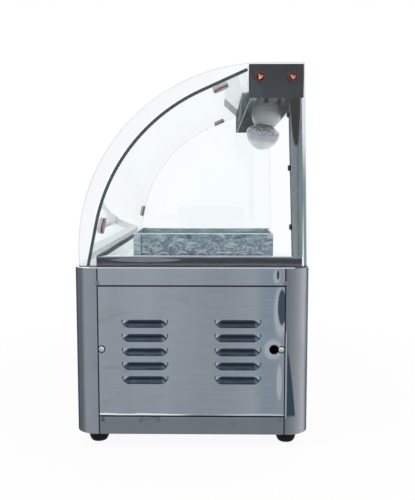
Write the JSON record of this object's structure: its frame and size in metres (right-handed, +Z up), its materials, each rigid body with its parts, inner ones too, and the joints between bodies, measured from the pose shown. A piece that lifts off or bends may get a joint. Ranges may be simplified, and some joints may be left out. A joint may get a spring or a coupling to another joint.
{
  "type": "roller grill",
  "caption": "Counter-top roller grill: chain-driven heated rollers in a louvred steel casing under a curved glass hood with a lamp, open at the back.",
  "frame": {"origin": "on the table, under the middle of the overall box", "axes": "+X along the rollers to the drive end, +Y to the open back, +Z up; the curved glass faces -Y"},
  "size_m": [0.5848, 0.344, 0.484],
  "materials": {
    "casing_steel": "polished stainless sheet",
    "bright_steel": "bright stainless sheet",
    "dark_steel": "dark polished sheet",
    "housing_steel": "swirled stainless sheet",
    "screw_steel": "plated",
    "roller_chrome": "polished chrome",
    "chain_steel": "oiled steel",
    "heater_steel": "oxidised sheath",
    "motor_grey": "satin",
    "black_rubber": "matte",
    "bearing_plastic": "matte",
    "black_plastic": "satin",
    "red_plastic": "gloss",
    "green_plastic": "gloss",
    "amber_plastic": "gloss",
    "clear_glass": "clear toughened glass",
    "bronze": "dull bronze",
    "copper": "copper plated",
    "red_washer": "fibre",
    "ceramic_white": "glazed",
    "bulb_glass": "frosted"
  },
  "bodies": {
    "root": {"beam_cap_left": "dark_steel", "beam_cap_right": "dark_steel", "bearing_plate_left": "bright_steel", "bearing_plate_right": "bright_steel", "bed_walls": "bright_steel", "bottom_pan": "casing_steel", "bottom_rails": "casing_steel", "bulb": "bulb_glass", "bushes": "bearing_plastic", "cable_gland": "black_plastic", "cap_screws": "copper", "cap_washers": "red_washer", "control_plate": "bright_steel", "corner_post_front_left": "casing_steel", "corner_post_front_right": "casing_steel", "corner_post_rear_left": "casing_steel", "corner_post_rear_right": "casing_steel", "deck": "bright_steel", "drive_chain": "chain_steel", "drive_housing": "housing_steel", "feet": "black_rubber", "front_glass": "clear_glass", "front_panel": "casing_steel", "gear_motor": "motor_grey", "glass_studs": "bronze", "heater_rods": "heater_steel", "housing_lid": "bright_steel", "lamp_holder": "ceramic_white", "pilot_lights": "amber_plastic", "rear_panel": "casing_steel", "side_pane_left": "clear_glass", "side_pane_right": "clear_glass", "side_panel_left": "casing_steel", "side_panel_right": "casing_steel", "side_screws": "screw_steel", "switch_bodies": "black_plastic", "terminal_block": "bearing_plastic", "thermostats": "bearing_plastic", "top_beam": "casing_steel", "top_rails": "casing_steel", "tray_rails": "bright_steel", "wiring_post": "casing_steel"},
    "roller_1": {"roller_1": "roller_chrome", "sprocket_1": "chain_steel"},
    "roller_2": {"roller_2": "roller_chrome", "sprocket_2": "chain_steel"},
    "roller_3": {"roller_3": "roller_chrome", "sprocket_3": "chain_steel"},
    "roller_4": {"roller_4": "roller_chrome", "sprocket_4": "chain_steel"},
    "roller_5": {"roller_5": "roller_chrome", "sprocket_5": "chain_steel"},
    "drive_sprocket": {"drive_sprocket": "chain_steel"},
    "drip_tray": {"drip_tray": "bright_steel", "tray_handle": "screw_steel"},
    "knob_1": {"knob_1": "black_plastic"},
    "knob_2": {"knob_2": "black_plastic"},
    "power_rocker": {"power_rocker": "red_plastic"},
    "lamp_rocker": {"lamp_rocker": "green_plastic"}
  },
  "joints": [
    {"name": "roller_1_spin", "type": "hinge", "parent": "root", "child": "roller_1", "pos_m": [0, -0.0535, 0.23], "axis": [1, 0, 0], "continuous": true},
    {"name": "roller_2_spin", "type": "hinge", "parent": "root", "child": "roller_2", "pos_m": [0, -0.0195, 0.23], "axis": [1, 0, 0], "continuous": true},
    {"name": "roller_3_spin", "type": "hinge", "parent": "root", "child": "roller_3", "pos_m": [0, 0.0145, 0.23], "axis": [1, 0, 0], "continuous": true},
    {"name": "roller_4_spin", "type": "hinge", "parent": "root", "child": "roller_4", "pos_m": [0, 0.0485, 0.23], "axis": [1, 0, 0], "continuous": true},
    {"name": "roller_5_spin", "type": "hinge", "parent": "root", "child": "roller_5", "pos_m": [0, 0.0825, 0.23], "axis": [1, 0, 0], "continuous": true},
    {"name": "drive_spin", "type": "hinge", "parent": "root", "child": "drive_sprocket", "pos_m": [0.2, 0.0145, 0.133], "axis": [1, 0, 0], "continuous": true},
    {"name": "tray_slide", "type": "slide", "parent": "root", "child": "drip_tray", "axis": [0, -1, 0], "range_m": [0, 0.2]},
    {"name": "knob_1_turn", "type": "hinge", "parent": "root", "child": "knob_1", "pos_m": [-0.099, -0.155, 0.092], "axis": [0, 1, 0], "range_deg": [0, 270]},
    {"name": "knob_2_turn", "type": "hinge", "parent": "root", "child": "knob_2", "pos_m": [-0.033, -0.155, 0.092], "axis": [0, 1, 0], "range_deg": [0, 270]},
    {"name": "power_switch", "type": "hinge", "parent": "root", "child": "power_rocker", "pos_m": [0.017, -0.149, 0.092], "axis": [1, 0, 0], "range_deg": [0, 16]},
    {"name": "lamp_switch", "type": "hinge", "parent": "root", "child": "lamp_rocker", "pos_m": [0.051, -0.149, 0.092], "axis": [1, 0, 0], "range_deg": [0, 16]}
  ],
  "couplings": [
    {"joint": "roller_2_spin", "follows": "roller_1_spin", "ratio": 1},
    {"joint": "roller_3_spin", "follows": "roller_1_spin", "ratio": 1},
    {"joint": "roller_4_spin", "follows": "roller_1_spin", "ratio": 1},
    {"joint": "roller_5_spin", "follows": "roller_1_spin", "ratio": 1},
    {"joint": "drive_spin", "follows": "roller_1_spin", "ratio": 1}
  ]
}
